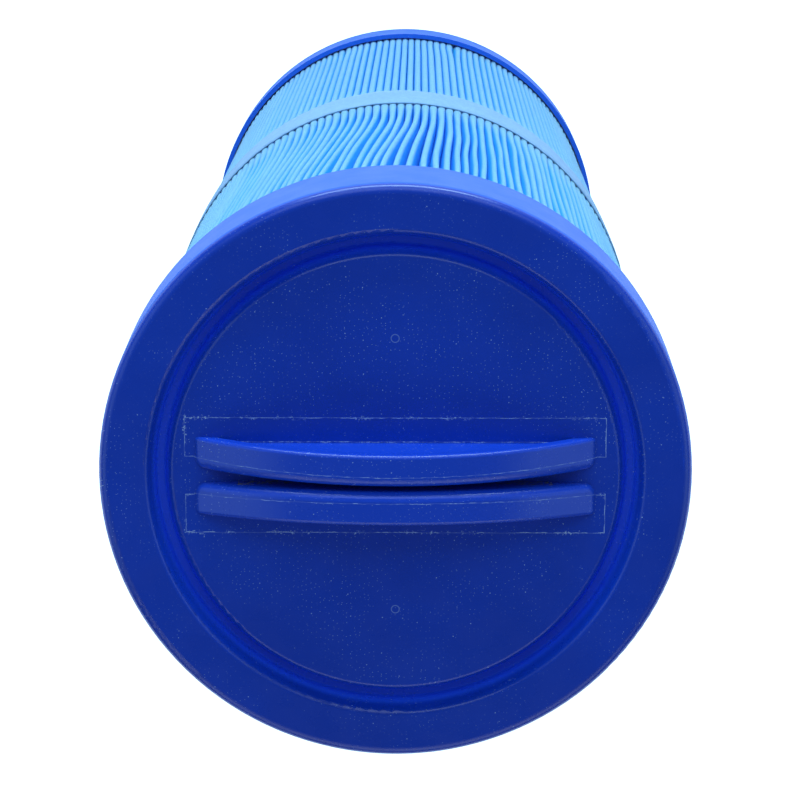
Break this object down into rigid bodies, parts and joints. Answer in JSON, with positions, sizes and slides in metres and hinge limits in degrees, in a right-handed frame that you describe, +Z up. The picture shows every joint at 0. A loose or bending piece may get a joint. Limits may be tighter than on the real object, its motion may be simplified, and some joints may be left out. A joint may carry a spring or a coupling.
{
  "type": "pool filter cartridge",
  "caption": "Pleated cloth spa filter cartridge with a two-lip grip moulded in its top cap and a male pipe thread outlet below.",
  "frame": {"origin": "centre of the threaded spigot's end face, the lowest point", "axes": "+Z up the cartridge's axis from the thread to the grip; X along the grip's lips"},
  "size_m": [0.1274, 0.1274, 0.3739],
  "materials": {
    "blue_moulded_plastic": "semi-gloss moulding",
    "blue_cap_plastic": "semi-gloss moulding",
    "blue_outlet_plastic": "semi-gloss moulding",
    "blue_filter_cloth": "matt nonwoven",
    "band_cloth": "matt nonwoven",
    "white_core_plastic": "matt moulding",
    "potting_resin": "cast resin"
  },
  "bodies": {
    "root": {"top_cap": "blue_moulded_plastic", "top_potting": "potting_resin", "pleated_media": "blue_filter_cloth", "media_band": "band_cloth", "core_section_1": "white_core_plastic", "core_section_2": "white_core_plastic", "core_section_3": "white_core_plastic", "bottom_potting": "potting_resin", "outlet_hub": "blue_outlet_plastic", "threaded_nipple": "blue_outlet_plastic", "bottom_cap": "blue_cap_plastic"}
  },
  "joints": []
}
